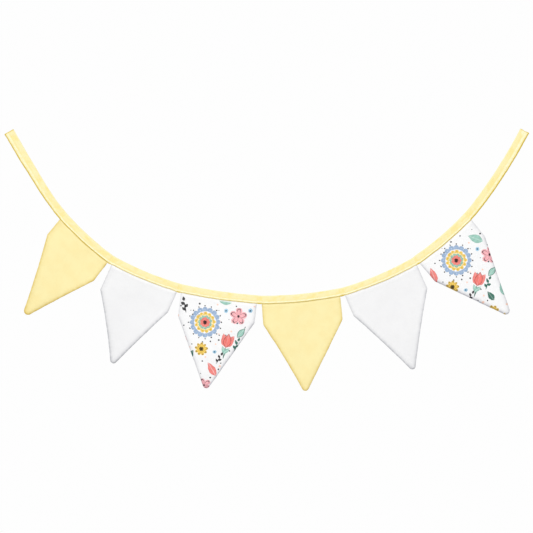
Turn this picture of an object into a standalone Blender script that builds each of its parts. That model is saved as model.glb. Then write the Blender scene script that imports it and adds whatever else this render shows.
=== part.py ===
# Fabric bunting: a bias-cut tape folded lengthwise over the tops of six turned pennants.
# It hangs in the XZ plane from the two ends of the tape and faces -Y. +Z is up, sizes are in metres.
# The origin is the left hanging point, in the middle of the tape's width and thickness.

import math
from collections import namedtuple

import bmesh
import bpy
from mathutils import Vector

MM = 0.001

# The tape: two leaves joined by the fold along its top, with a stitched hem along each lower edge
TAPE_LEAF = 1.0 * MM
HEM_WIDTH = 4.5 * MM
HEM_SHARE = 1.3
STITCH_SHARE = 0.8
STITCH_DIP = 2.0 * MM
EDGE_LIFT = 1.2 * MM
EDGE_LIFT_RUN = 12.0 * MM
FREE_GAP = 0.4 * MM
STATION_STEP = 13.0 * MM
FOLD_STEPS = 4
HANGING_INSET = 10.0 * MM

# A pennant: two layers of cloth, thickest where the seam allowance lies inside its edges
PENNANT_THICKNESS = 2.4 * MM
RIM_SHARE = 0.42
SEAM_SHARE = 1.0
PANEL_SHARE = 0.78
HELD_SHARE = 0.66
HELD_DEPTH = 12.5 * MM
RIM_ROLL = 1.5 * MM
SEAM_ALLOWANCE = 6.5 * MM
SEAM_FADE = 11.5 * MM
CLEARANCE = 0.3 * MM
HELD_GAP = PENNANT_THICKNESS * HELD_SHARE + 2 * CLEARANCE

# The rows and columns of a pennant's grid
PANEL_COLUMNS = 6
SIDE_ROWS = 4
SHOULDER_ROWS = 2
TAPER_ROWS = 8
TIP_ROWS = 3
SHOULDER_ROUND = 5.0 * MM
TIP_LAST_ANGLE = math.radians(14)
FOLD_SLANT = 0.6
FOLD_START = 0.3

# Along the tape from left to right: the pennant held there, the length in millimetres, and at its
# start the heading in degrees below level and the width of the folded tape in millimetres
Stretch = namedtuple("Stretch", "pennant length heading width")
STRETCHES = (
    Stretch(pennant=None, length=130, heading=60.5, width=20.0),
    Stretch(pennant=None, length=84, heading=58.5, width=19.2),
    Stretch(pennant=1, length=134, heading=48.5, width=18.4),
    Stretch(pennant=None, length=7.5, heading=36.5, width=18.5),
    Stretch(pennant=2, length=151, heading=29.0, width=18.6),
    Stretch(pennant=None, length=8, heading=16.0, width=18.2),
    Stretch(pennant=3, length=162.5, heading=12.5, width=18.0),
    Stretch(pennant=None, length=10.5, heading=4.0, width=17.8),
    Stretch(pennant=4, length=165, heading=0.0, width=17.2),
    Stretch(pennant=None, length=10.5, heading=-11.0, width=17.2),
    Stretch(pennant=5, length=166, heading=-15.5, width=17.2),
    Stretch(pennant=None, length=6, heading=-30.0, width=18.4),
    Stretch(pennant=6, length=141, heading=-34.0, width=19.0),
    Stretch(pennant=None, length=40, heading=-46.5, width=19.8),
    Stretch(pennant=None, length=178, heading=-53.0, width=20.4),
)
TAPE_END = Stretch(pennant=None, length=0, heading=-62.5, width=20.6)

# Each pennant in millimetres, with (along, down) places measured along the tape from the pennant's
# left corner and down from the tape. The last three columns say how far its middle, its tip and
# a slanting fold stand forward.
Pennant = namedtuple("Pennant", "number cloth left_shoulder right_shoulder tip tip_radius bow swing fold")
PENNANTS = (
    Pennant(1, "yellow", (1, 41), (138, 47), (80, 195), 7.5, 2.0, -2.5, 0.8),
    Pennant(2, "white", (0, 55), (150, 46), (84, 190), 7.0, -1.5, 3.0, 1.0),
    Pennant(3, "print", (3, 51), (162, 40), (82, 191), 7.0, 2.5, 1.5, -0.8),
    Pennant(4, "yellow", (-1, 44), (165, 48), (73, 190), 7.0, 1.5, -1.5, 1.0),
    Pennant(5, "white", (0, 46), (165, 52), (73, 198), 7.0, -2.0, 2.5, 0.9),
    Pennant(6, "print", (0, 48), (140, 45), (72, 199), 7.0, 2.0, 3.0, -1.0),
)

# Colour and roughness of each cloth
CLOTHS = {
    "tape_yellow": ((0.99, 0.87, 0.45, 1.0), 0.85),
    "yellow": ((0.99, 0.88, 0.47, 1.0), 0.90),
    "white": ((0.90, 0.90, 0.91, 1.0), 0.90),
    "print": ((0.93, 0.91, 0.90, 1.0), 0.90),
}


def smooth(share):
    share = max(0.0, min(1.0, share))
    return share * share * (3 - 2 * share)


class TapeLine:
    """The lower edge of the tape, integrated from the lengths and headings of its stretches."""

    STEP = 1.0 * MM

    def __init__(self):
        self.rows = list(STRETCHES) + [TAPE_END]
        self.starts = [0.0]
        for stretch in STRETCHES:
            self.starts.append(self.starts[-1] + stretch.length * MM)
        self.length = self.starts[-1]
        self.points = [Vector((0, 0, 0))]
        for i in range(math.ceil(self.length / self.STEP)):
            middle = (i + 0.5) * self.STEP
            self.points.append(self.points[-1] + self.along(middle) * self.STEP)
        hanging = self.at(HANGING_INSET, self.width(HANGING_INSET) / 2)
        self.points = [point - hanging for point in self.points]

    def between(self, s, column):
        """The value at length s of a column that runs evenly through each stretch."""
        for i, start in enumerate(self.starts[:-1]):
            end = self.starts[i + 1]
            if s <= end or end == self.length:
                before, after = getattr(self.rows[i], column), getattr(self.rows[i + 1], column)
                return before + (after - before) * (s - start) / (end - start)

    def width(self, s):
        return self.between(s, "width") * MM

    def along(self, s):
        angle = math.radians(self.between(s, "heading"))
        return Vector((math.cos(angle), 0, -math.sin(angle)))

    def up(self, s):
        along = self.along(s)
        return Vector((-along.z, 0, along.x))

    def at(self, s, up=0.0):
        """The point at length s along the line, the given distance above it."""
        place = min(max(s / self.STEP, 0), len(self.points) - 2)
        before = int(place)
        return self.points[before].lerp(self.points[before + 1], place - before) + self.up(s) * up

    def span_of(self, number):
        """Where along the tape a pennant starts and ends."""
        for i, stretch in enumerate(STRETCHES):
            if stretch.pennant == number:
                return self.starts[i], self.starts[i + 1]

    def inside_pennant(self, s):
        """How far inside the nearest pennant's top the length s is, negative beside it."""
        spans = [self.span_of(pennant.number) for pennant in PENNANTS]
        return max(min(s - first, last - s) for first, last in spans)


def material(name):
    colour, roughness = CLOTHS[name]
    made = bpy.data.materials.get(name) or bpy.data.materials.new(name)
    made.use_nodes = True
    shader = made.node_tree.nodes["Principled BSDF"]
    shader.inputs["Base Color"].default_value = colour
    shader.inputs["Roughness"].default_value = roughness
    shader.inputs["Metallic"].default_value = 0.0
    return made


def cloth_sheet(name, rows, shares, thickness, cloth):
    """A sheet through rows of points, thickened to both sides by its share of the thickness at each."""
    columns = len(rows[0])
    bm = bmesh.new()
    verts = [[bm.verts.new(point) for point in row] for row in rows]
    for upper, lower in zip(verts, verts[1:]):
        for i in range(columns - 1):
            bm.faces.new((upper[i], lower[i], lower[i + 1], upper[i + 1]))
    bmesh.ops.recalc_face_normals(bm, faces=bm.faces)
    mesh = bpy.data.meshes.new(name)
    bm.to_mesh(mesh)
    bm.free()
    mesh.shade_smooth()
    mesh.materials.append(material(cloth))
    sheet = bpy.data.objects.new(name, mesh)
    bpy.context.scene.collection.objects.link(sheet)
    weights = sheet.vertex_groups.new(name="thickness")
    flat_shares = [share for row in shares for share in row]
    largest = max(flat_shares)
    for index, share in enumerate(flat_shares):
        weights.add([index], share / largest, "REPLACE")
    solid = sheet.modifiers.new("thickness", "SOLIDIFY")
    solid.thickness = thickness * largest
    solid.offset = 0.0
    solid.use_even_offset = True
    solid.vertex_group = weights.name


def stations():
    """Lengths along the tape where its section is drawn, the ends of every stretch among them."""
    found = [0.0]
    for stretch, start in zip(STRETCHES, LINE.starts):
        length = stretch.length * MM
        steps = max(2, round(length / STATION_STEP))
        found += [start + length * step / steps for step in range(1, steps + 1)]
    return found


def fold_gap(s):
    """The space between the tape's two leaves: open round a pennant, closed beside it."""
    narrowest_half = min(stretch.length for stretch in STRETCHES) * MM / 2
    closing = smooth(-LINE.inside_pennant(s) / narrowest_half)
    return HELD_GAP + (FREE_GAP - HELD_GAP) * closing


def tape_section(s):
    """One crossing of the tape, from the front hem over the fold to the back hem, with its shares."""
    inner = fold_gap(s) / 2
    lift = EDGE_LIFT * smooth(LINE.inside_pennant(s) / EDGE_LIFT_RUN)
    radius = inner + TAPE_LEAF / 2
    fold = LINE.width(s) - radius - TAPE_LEAF / 2
    leaf = (
        (lift, 1.0),
        (lift + HEM_WIDTH / 2, HEM_SHARE),
        (lift + HEM_WIDTH, STITCH_SHARE),
        (lift + HEM_WIDTH + STITCH_DIP, 1.0),
    )
    front = [(up, -inner - TAPE_LEAF * share / 2, share) for up, share in leaf]
    turn = [math.pi * step / FOLD_STEPS for step in range(FOLD_STEPS + 1)]
    arc = [(fold + radius * math.sin(angle), -radius * math.cos(angle), 1.0) for angle in turn]
    back = [(up, -forward, share) for up, forward, share in reversed(front)]
    section = front + arc + back
    points = [LINE.at(s, up) + Vector((0, forward, 0)) for up, forward, share in section]
    return points, [share for up, forward, share in section]


def make_tape():
    sections = [tape_section(s) for s in stations()]
    rows = [points for points, shares in sections]
    shares = [shares for points, shares in sections]
    cloth_sheet("tape", rows, shares, TAPE_LEAF, "tape_yellow")


def rounded_corner(before, corner, after):
    """Points of a curve that rounds a corner of an outline."""
    start = corner + (before - corner).normalized() * SHOULDER_ROUND
    end = corner + (after - corner).normalized() * SHOULDER_ROUND
    steps = [step / SHOULDER_ROWS for step in range(SHOULDER_ROWS)]
    return [start.lerp(corner, t).lerp(corner.lerp(end, t), t) for t in steps], end


def side_outline(corner, shoulder, centre, tip_radius, turn):
    """One edge of a pennant from the tape to its tip, as (along, down) points; turn is -1 at the left."""
    to_centre = centre - shoulder
    bearing = math.atan2(turn * to_centre.x, to_centre.y)
    touch = math.pi / 2 + bearing + math.asin(tip_radius / to_centre.length)
    angles = [touch + (TIP_LAST_ANGLE - touch) * row / TIP_ROWS for row in range(TIP_ROWS + 1)]
    tip = [centre + tip_radius * Vector((turn * math.sin(angle), math.cos(angle))) for angle in angles]
    rounding, taper_start = rounded_corner(corner, shoulder, tip[0])
    side = [corner.lerp(rounding[0], row / SIDE_ROWS) for row in range(SIDE_ROWS)]
    taper = [taper_start.lerp(tip[0], row / TAPER_ROWS) for row in range(TAPER_ROWS)]
    return side + rounding + taper + tip


def both_sides(pennant, top_width):
    radius = pennant.tip_radius * MM
    centre = Vector(pennant.tip) * MM - Vector((0, radius))
    left_corner, right_corner = Vector((0, 0)), Vector((top_width, 0))
    left = side_outline(left_corner, Vector(pennant.left_shoulder) * MM, centre, radius, -1)
    right = side_outline(right_corner, Vector(pennant.right_shoulder) * MM, centre, radius, 1)
    return left, right


def column_places(width):
    """Shares of a row's width: the rolled rim, the seam allowance and then an even panel."""
    shrink = min(1.0, width / 2 / (SEAM_FADE + RIM_ROLL))
    rim = [distance * shrink / width for distance in (0.0, RIM_ROLL, SEAM_ALLOWANCE, SEAM_FADE)]
    inner = 1 - 2 * rim[-1]
    panel = [rim[-1] + inner * (i + 1) / (PANEL_COLUMNS + 1) for i in range(PANEL_COLUMNS)]
    return rim + panel + [1 - place for place in reversed(rim)]


def column_shares():
    rim = [RIM_SHARE, SEAM_SHARE, SEAM_SHARE, PANEL_SHARE]
    return rim + [PANEL_SHARE] * PANEL_COLUMNS + rim[::-1]


def stand_forward(pennant, across, down):
    """How far a pennant stands in front of the tape's plane, at shares across and down it."""
    bow = pennant.bow * math.sin(math.pi * across) * math.sin(math.pi * down)
    swing = pennant.swing * down * down
    fold = pennant.fold * math.sin(2 * math.pi * (across + FOLD_SLANT * down)) * smooth(down / FOLD_START)
    return (bow + swing + fold) * MM


def make_pennant(pennant):
    first, last = LINE.span_of(pennant.number)
    corner = LINE.at(first)
    along = (LINE.at(last) - corner).normalized()
    down = Vector((along.z, 0, -along.x))
    left, right = both_sides(pennant, (LINE.at(last) - corner).length)
    hanging_straight = SIDE_ROWS + SHOULDER_ROWS
    rows = []
    for height in (HELD_DEPTH, HELD_DEPTH / 2):
        rows.append([LINE.at(first + (last - first) * place, height) for place in column_places(last - first)])
    shares = [[HELD_SHARE * share for share in column_shares()] for row in rows]
    for index, (start, end) in enumerate(zip(left, right)):
        row = []
        for across in column_places((end - start).length):
            spot = start.lerp(end, across)
            bend = (LINE.at(first + (last - first) * across) - corner).dot(down)
            bend *= max(0.0, 1 - index / hanging_straight)
            forward = stand_forward(pennant, across, spot.y / (pennant.tip[1] * MM))
            row.append(corner + along * spot.x + down * (spot.y + bend) - Vector((0, forward, 0)))
        rows.append(row)
        shares.append([(HELD_SHARE if index == 0 else 1.0) * share for share in column_shares()])
    shares[-1] = [min(share, RIM_SHARE) for share in shares[-1]]
    cloth_sheet(f"pennant_{pennant.number}", rows, shares, PENNANT_THICKNESS, pennant.cloth)


for leftover in list(bpy.data.objects):
    bpy.data.objects.remove(leftover)
LINE = TapeLine()
make_tape()
for pennant in PENNANTS:
    make_pennant(pennant)
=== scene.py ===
import math
from collections import namedtuple

import bpy
import numpy as np
from mathutils import Matrix, Vector, noise
from mathutils.geometry import delaunay_2d_cdt


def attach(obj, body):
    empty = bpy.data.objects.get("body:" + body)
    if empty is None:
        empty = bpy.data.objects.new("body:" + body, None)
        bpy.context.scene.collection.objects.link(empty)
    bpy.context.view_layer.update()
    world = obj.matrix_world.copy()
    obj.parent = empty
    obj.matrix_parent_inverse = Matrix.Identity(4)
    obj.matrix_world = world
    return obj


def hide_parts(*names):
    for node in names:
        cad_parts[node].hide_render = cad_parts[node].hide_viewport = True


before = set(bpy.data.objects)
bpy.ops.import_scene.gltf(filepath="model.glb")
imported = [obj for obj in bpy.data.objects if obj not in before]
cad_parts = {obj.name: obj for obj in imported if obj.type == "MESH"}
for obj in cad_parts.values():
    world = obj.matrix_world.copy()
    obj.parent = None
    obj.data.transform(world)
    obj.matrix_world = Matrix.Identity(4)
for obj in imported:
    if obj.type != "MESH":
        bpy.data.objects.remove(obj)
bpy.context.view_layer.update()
mm = 0.001
print("frame loaded:", ", ".join(sorted(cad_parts)))


# Small helpers

def smooth(share):
    share = np.clip(share, 0, 1)
    return share * share * (3 - 2 * share)


def wander(seed, across, along=0.0):
    # Smooth noise of about -0.6 to 0.6 over places that are already divided by the size of its features
    across, along = np.broadcast_arrays(np.asarray(across, float), np.asarray(along, float))
    spots = zip(across.ravel(), along.ravel())
    return np.array([noise.noise(Vector((x, y, seed * 7.31))) for x, y in spots]).reshape(across.shape)


def screenColour(red, green, blue):
    # A colour as it looks on screen, 0 to 255, turned into the linear one that a shader takes
    linear = [((c / 255 + 0.055) / 1.055) ** 2.4 if c > 10 else c / 255 / 12.92 for c in (red, green, blue)]
    return (*linear, 1.0)


def deselectAll():
    if bpy.context.object and bpy.context.object.mode != "OBJECT":
        bpy.ops.object.mode_set(mode="OBJECT")
    bpy.ops.object.select_all(action="DESELECT")


# Camera, lights and stage

photo = {
    "pixels": 533,
    "metresPerPixel": 2.1 * mm,
    "leftHangingPixel": (11.72, 135.64),
    "lens": 85.0,
    "sensor": 36.0,
}


def makeCamera():
    middle = photo["pixels"] / 2
    x = (middle - photo["leftHangingPixel"][0]) * photo["metresPerPixel"]
    z = (photo["leftHangingPixel"][1] - middle) * photo["metresPerPixel"]
    distance = photo["pixels"] * photo["metresPerPixel"] * photo["lens"] / photo["sensor"]
    deselectAll()
    bpy.ops.object.camera_add(location=(x, -distance, z), rotation=(math.pi / 2, 0, 0))
    camera = bpy.context.object
    camera.name = "front_camera"
    camera.data.lens = photo["lens"]
    camera.data.sensor_width = photo["sensor"]
    bpy.context.scene.camera = camera
    print("camera", round(distance, 3), "m in front of the bunting")
    return Vector((x, 0, z))


studio = {
    "ambient": 0.605,                # the even light from all round
    "backdrop": 0.99,                # how bright the paper behind looks
    "key": {"place": (-0.7, -4.4, 5.8), "size": 3.0, "power": 246.0},
    "fill": {"place": (0.0, -3.6, 0.3), "size": 3.0, "power": 26.0},
    "back": {"place": (-2.8, 3.4, 0.8), "size": 2.0, "power": 60.0},      # lights the back only
    "floorDepth": -1.62,
    "floorRadius": 2.9,
    "floorColour": (0.80, 0.80, 0.80, 1.0),
}


def makeLight(name, target, look):
    deselectAll()
    place = target + Vector(look["place"])
    bpy.ops.object.light_add(type="AREA", location=place)
    lamp = bpy.context.object
    lamp.name = name
    lamp.data.size = look["size"]
    lamp.data.energy = look["power"]
    lamp.rotation_euler = (target - place).to_track_quat("-Z", "Y").to_euler()


def makeWorld():
    world = bpy.data.worlds.new("paper_white")
    bpy.context.scene.world = world
    world.use_nodes = True
    tree = world.node_tree
    tree.nodes.clear()
    ambient = tree.nodes.new("ShaderNodeBackground")
    ambient.inputs["Strength"].default_value = studio["ambient"]
    ambient.inputs["Color"].default_value = (1, 1, 1, 1)
    paper = tree.nodes.new("ShaderNodeBackground")
    paper.inputs["Strength"].default_value = studio["backdrop"]
    paper.inputs["Color"].default_value = (1, 1, 1, 1)
    seen = tree.nodes.new("ShaderNodeLightPath")
    mixed = tree.nodes.new("ShaderNodeMixShader")
    out = tree.nodes.new("ShaderNodeOutputWorld")
    tree.links.new(seen.outputs["Is Camera Ray"], mixed.inputs[0])
    tree.links.new(ambient.outputs[0], mixed.inputs[1])
    tree.links.new(paper.outputs[0], mixed.inputs[2])
    tree.links.new(mixed.outputs[0], out.inputs["Surface"])


def makeFloor(target):
    deselectAll()
    bpy.ops.mesh.primitive_circle_add(vertices=96, radius=studio["floorRadius"], fill_type="NGON",
                                      location=(target.x, 0, studio["floorDepth"]))
    floor = bpy.context.object
    floor.name = "pale_floor"
    paint = bpy.data.materials.new("floor_paint")
    paint.use_nodes = True
    shader = paint.node_tree.nodes["Principled BSDF"]
    shader.inputs["Base Color"].default_value = studio["floorColour"]
    shader.inputs["Roughness"].default_value = 0.9
    floor.data.materials.append(paint)


target = makeCamera()
makeWorld()
makeLight("key_softbox", target, studio["key"])
makeLight("front_fill", target, studio["fill"])
makeLight("back_fill", target, studio["back"])
makeFloor(target)
bpy.context.scene.view_settings.view_transform = "Standard"
print("studio ready")


# The tape's line, which all pieces hang on

stretch = namedtuple("stretch", "pennant length heading width")
tapeStretches = (
    # pennant held, length in mm, then at its start the degrees below level and the folded width in mm
    stretch(None, 130, 60.5, 20.0),
    stretch(None, 84, 58.5, 19.6),
    stretch(1, 134, 48.5, 18.4),
    stretch(None, 7.5, 36.5, 18.5),
    stretch(2, 151, 29.0, 18.6),
    stretch(None, 8, 16.0, 18.2),
    stretch(3, 162.5, 12.5, 18.0),
    stretch(None, 10.5, 4.0, 17.8),
    stretch(4, 165, 0.0, 17.2),
    stretch(None, 10.5, -11.0, 17.0),
    stretch(5, 166, -15.5, 16.8),
    stretch(None, 6, -30.0, 18.0),
    stretch(6, 141, -34.0, 19.0),
    stretch(None, 40, -46.5, 19.8),
    stretch(None, 180.2, -53.0, 20.4),
    stretch(None, 0, -62.5, 20.6),
)
hangingInset = 10.0 * mm
lineStep = 1.0 * mm

starts = np.cumsum([0.0] + [row.length * mm for row in tapeStretches[:-1]])
tapeLength = starts[-1]
pennantSpans = {row.pennant: (starts[i], starts[i + 1])
                for i, row in enumerate(tapeStretches) if row.pennant}


def widthAt(s):
    return np.interp(s, starts, [row.width * mm for row in tapeStretches])


def alongAt(s):
    angle = np.radians(np.interp(s, starts, [row.heading for row in tapeStretches]))
    return np.stack([np.cos(angle), -np.sin(angle)], -1)


def upAt(s):
    along = alongAt(s)
    return np.stack([-along[..., 1], along[..., 0]], -1)


linePlaces = np.arange(math.ceil(tapeLength / lineStep) + 1) * lineStep
lineSteps = alongAt(linePlaces[:-1] + lineStep / 2) * lineStep
linePoints = np.vstack([[0.0, 0.0], np.cumsum(lineSteps, axis=0)])


def lineAt(s, up=0.0):
    # The x and z of the point at length s along the tape's lower edge, the given distance above it
    base = np.stack([np.interp(s, linePlaces, linePoints[:, axis]) for axis in (0, 1)], -1)
    return base + upAt(s) * np.asarray(up)[..., None]


linePoints = linePoints - lineAt(hangingInset, widthAt(hangingInset) / 2)


def insidePennant(s):
    # How far inside the nearest pennant's top the length s is, negative beside it
    return np.max([np.minimum(s - first, last - s) for first, last in pennantSpans.values()], axis=0)


# Cloth materials

def addNode(tree, kind, inputs=(), **settings):
    made = tree.nodes.new(kind)
    for name, value in settings.items():
        setattr(made, name, value)
    for socket, value in dict(inputs).items():
        plug(tree, made.inputs[socket], value)
    return made


def plug(tree, socket, value):
    if isinstance(value, bpy.types.NodeSocket):
        tree.links.new(value, socket)
    else:
        socket.default_value = value


def calc(tree, operation, *values):
    made = addNode(tree, "ShaderNodeMath", dict(enumerate(values)), operation=operation)
    return made.outputs[0]


def times(tree, first, second):
    return calc(tree, "MULTIPLY", first, second)


def plus(tree, first, second):
    return calc(tree, "ADD", first, second)


def minus(tree, first, second):
    return calc(tree, "SUBTRACT", first, second)


def vectorCalc(tree, operation, first, second):
    made = addNode(tree, "ShaderNodeVectorMath", {0: first}, operation=operation)
    plug(tree, made.inputs["Scale" if operation == "SCALE" else 1], second)
    return made.outputs["Vector"]


def mapSmooth(tree, value, low, high, start=0.0, end=1.0):
    made = addNode(tree, "ShaderNodeMapRange", interpolation_type="SMOOTHSTEP")
    labels = ("Value", "From Min", "From Max", "To Min", "To Max")
    for name, number in zip(labels, (value, low, high, start, end)):
        plug(tree, made.inputs[name], number)
    return made.outputs["Result"]


def mixColour(tree, share, under, over, blend="MIX"):
    made = addNode(tree, "ShaderNodeMix", data_type="RGBA", blend_type=blend)
    plug(tree, made.inputs["Factor"], share)
    plug(tree, made.inputs[6], under)
    plug(tree, made.inputs[7], over)
    return made.outputs[2]


def noiseValue(tree, place, featureSize, detail=2.0, roughness=0.5):
    made = addNode(tree, "ShaderNodeTexNoise", {"Vector": place, "Scale": 1.0 / featureSize,
                                                "Detail": detail, "Roughness": roughness})
    return made.outputs["Fac"]


def greyColour(tree, tone):
    return addNode(tree, "ShaderNodeCombineColor", {0: tone, 1: tone, 2: tone}).outputs[0]


def attributeValue(tree, name):
    return addNode(tree, "ShaderNodeAttribute", attribute_name=name).outputs["Fac"]


def clothPlace(tree, turn=0.0):
    # The piece's own flat map, in millimetres, turned to the grain of its threads
    place = addNode(tree, "ShaderNodeUVMap", uv_map="clothMap").outputs["UV"]
    place = vectorCalc(tree, "SCALE", place, 1000.0)
    if turn:
        made = addNode(tree, "ShaderNodeVectorRotate", {"Vector": place, "Angle": math.radians(turn)},
                       rotation_type="Z_AXIS")
        place = made.outputs["Vector"]
    return place


weave = {
    "threadPitch": 0.42,      # mm between threads of the plain cotton weave
    "slubSize": 2.6,          # mm, the length of thicker places in a thread
    "strength": 0.22,
    "depth": 0.12 * mm,
    "fibreTone": 0.013,       # how much lighter and darker single threads are
}


def weaveHeight(tree, place):
    # Over-and-under threads: warp crests where weft dips
    parts = addNode(tree, "ShaderNodeSeparateXYZ", {0: place}).outputs
    turns = math.pi / weave["threadPitch"]
    warp = calc(tree, "SINE", times(tree, parts["X"], turns))
    weft = calc(tree, "SINE", times(tree, parts["Y"], turns))
    crossing = times(tree, warp, weft)
    slub = noiseValue(tree, place, weave["slubSize"], detail=3.0, roughness=0.65)
    return plus(tree, crossing, times(tree, slub, 1.6))


def threadTone(tree, place, colour):
    # Threads run a little lighter and darker, long one way and short the other
    warp = addNode(tree, "ShaderNodeMapping", {"Vector": place, "Scale": (2.2, 0.12, 1.0)}).outputs[0]
    weft = addNode(tree, "ShaderNodeMapping", {"Vector": place, "Scale": (0.12, 2.2, 1.0)}).outputs[0]
    both = plus(tree, noiseValue(tree, warp, 1.0), noiseValue(tree, weft, 1.0))
    amount = weave["fibreTone"]
    tone = mapSmooth(tree, both, 0.7, 1.3, 1 - amount, 1 + amount)
    return mixColour(tree, 1.0, colour, greyColour(tree, tone), "MULTIPLY")


def finishCloth(tree, colour, place, look):
    shader = tree.nodes["Principled BSDF"]
    tree.links.new(threadTone(tree, place, colour), shader.inputs["Base Color"])
    roughness = mapSmooth(tree, noiseValue(tree, place, 9.0), 0.3, 0.7, look["roughness"] - 0.05,
                          look["roughness"] + 0.05)
    tree.links.new(roughness, shader.inputs["Roughness"])
    shader.inputs["Specular IOR Level"].default_value = 0.25
    shader.inputs["Sheen Weight"].default_value = look["sheen"]
    shader.inputs["Sheen Roughness"].default_value = 0.5
    bump = addNode(tree, "ShaderNodeBump", {"Strength": weave["strength"], "Distance": weave["depth"],
                                            "Height": weaveHeight(tree, place)})
    tree.links.new(bump.outputs["Normal"], shader.inputs["Normal"])


def newMaterial(name):
    made = bpy.data.materials.new(name)
    made.use_nodes = True
    return made


# edge is the colour of painted shade along the edges, band a painted highlight below the tape, shade a
# painted shadow under the tape
cottonLooks = {
    "yellow_cotton": {
        "colour": screenColour(245.7, 232.9, 174),
        "warm": screenColour(245, 229.5, 168),
        "edge": screenColour(222, 204, 132),
        "band": screenColour(249, 238, 186),
        "shade": screenColour(228, 206, 118),
        "roughness": 0.88,
        "sheen": 0.08,
    },
    "white_cotton": {
        "colour": screenColour(238, 237.9, 238.4),
        "warm": screenColour(236.5, 236.4, 236.9),
        "edge": screenColour(200, 201, 205),
        "band": screenColour(248.5, 248.5, 249),
        "shade": screenColour(250, 248, 240),
        "roughness": 0.88,
        "sheen": 0.06,
    },
    "printed_cotton": {
        "colour": screenColour(243, 243, 243.3),
        "warm": screenColour(241.2, 241.3, 241.8),
        "edge": screenColour(196, 196, 202),
        "band": screenColour(250, 250, 251),
        "shade": screenColour(250, 248, 240),
        "roughness": 0.88,
        "sheen": 0.06,
    },
}


def groundColour(tree, place, look):
    # Slow changes of tone over the panel
    patches = mapSmooth(tree, noiseValue(tree, place, 26.0, detail=3.0), 0.36, 0.68)
    return mixColour(tree, patches, look["colour"], look["warm"])


def paintedLightAndShade(tree, colour, look):
    # Painted highlight where the pennant bulges below the tape, painted shade along the pressed edge, round
    # the tip and lower down, and painted shadow under the tape's edge
    banded = mixColour(tree, attributeValue(tree, "tapeBand"), colour, look["band"], "LIGHTEN")
    edged = mixColour(tree, attributeValue(tree, "edgeShade"), banded, look["edge"], "MULTIPLY")
    return mixColour(tree, attributeValue(tree, "tapeShade"), edged, look["shade"], "MULTIPLY")


def makePlainCotton(name):
    look = cottonLooks[name]
    made = newMaterial(name)
    tree = made.node_tree
    place = clothPlace(tree)
    finishCloth(tree, paintedLightAndShade(tree, groundColour(tree, place, look), look), place, look)
    return made


# The printed cotton: loose brush-painted blooms, leaves, sprigs and dots on white

ink = {
    "blueGrey": screenColour(150, 176, 208),
    "paleBlue": screenColour(158, 204, 230),
    "navy": screenColour(24, 52, 78),
    "mustard": screenColour(246, 204, 74),
    "cream": screenColour(252, 236, 190),
    "pink": screenColour(250, 178, 184),
    "coral": screenColour(240, 126, 118),
    "peach": screenColour(252, 206, 184),
    "sage": screenColour(150, 200, 184),
    "darkGreen": screenColour(18, 104, 84),
    "black": screenColour(26, 26, 30),
    "white": screenColour(250, 250, 250),
}
repeat = {
    "width": 170.0,           # mm, the size of the printed repeat
    "height": 205.0,
    "bleed": 1.5,             # mm that the paint wanders from a clean outline
    "bleedSize": 6.0,         # mm, and over what length it wanders
    "edgeSoftness": 0.5,
    "lineInset": 1.1,         # mm from a leaf's rim to its drawn outline
}


# The motifs are worked out with plain numbers, one after another, to keep the shader small

def newGroup(name, numbers):
    group = bpy.data.node_groups.new(name, "ShaderNodeTree")
    for label in ("Under", "Ink"):
        group.interface.new_socket(name=label, in_out="INPUT", socket_type="NodeSocketColor")
    for label in ("X", "Y", "Wash", "Centre X", "Centre Y", "Turn", *numbers):
        group.interface.new_socket(name=label, in_out="INPUT", socket_type="NodeSocketFloat")
    group.interface.new_socket(name="Colour", in_out="OUTPUT", socket_type="NodeSocketColor")
    return group, group.nodes.new("NodeGroupInput").outputs, group.nodes.new("NodeGroupOutput").inputs


def localPlace(tree, given):
    # The place on the cloth as seen from the motif, which comes back at every repeat
    away = []
    for axis, size in (("X", repeat["width"]), ("Y", repeat["height"])):
        offset = minus(tree, given[axis], given["Centre " + axis])
        away.append(calc(tree, "WRAP", offset, size / 2, -size / 2))
    cosine, sine = calc(tree, "COSINE", given["Turn"]), calc(tree, "SINE", given["Turn"])
    x = plus(tree, times(tree, away[0], cosine), times(tree, away[1], sine))
    y = minus(tree, times(tree, away[1], cosine), times(tree, away[0], sine))
    return x, y


def paint(tree, given, inside, body):
    # Paint pools darker at its rim and runs unevenly inside
    tone = times(tree, mapSmooth(tree, inside, 0.2, 1.8, 0.84, 1.0), given["Wash"])
    wet = mixColour(tree, 1.0, body, greyColour(tree, tone), "MULTIPLY")
    mask = mapSmooth(tree, inside, 0.0, repeat["edgeSoftness"], 0.0, 0.94)
    return mixColour(tree, mask, given["Under"], wet)


def makeLeafGroup():
    tree, given, out = newGroup("printLeaf", ("Length", "Width", "Rib", "Line"))
    x, y = localPlace(tree, given)
    t = calc(tree, "DIVIDE", times(tree, y, 2.0), given["Length"])
    hull = calc(tree, "MAXIMUM", minus(tree, 1.0, times(tree, t, t)), 0.0)
    lean = minus(tree, 1.0, times(tree, t, 0.35))
    half = times(tree, times(tree, hull, lean), times(tree, given["Width"], 0.5))
    side = calc(tree, "ABSOLUTE", x)
    inside = minus(tree, half, side)
    rib = times(tree, mapSmooth(tree, side, 0.25, 0.9, 1.0, 0.0), given["Rib"])
    body = mixColour(tree, rib, given["Ink"], ink["white"])
    offLine = calc(tree, "ABSOLUTE", minus(tree, inside, repeat["lineInset"]))
    line = times(tree, mapSmooth(tree, offLine, 0.35, 1.0, 1.0, 0.0), given["Line"])
    drawn = mixColour(tree, line, body, ink["black"])
    tree.links.new(paint(tree, given, inside, drawn), out["Colour"])
    return tree


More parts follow.
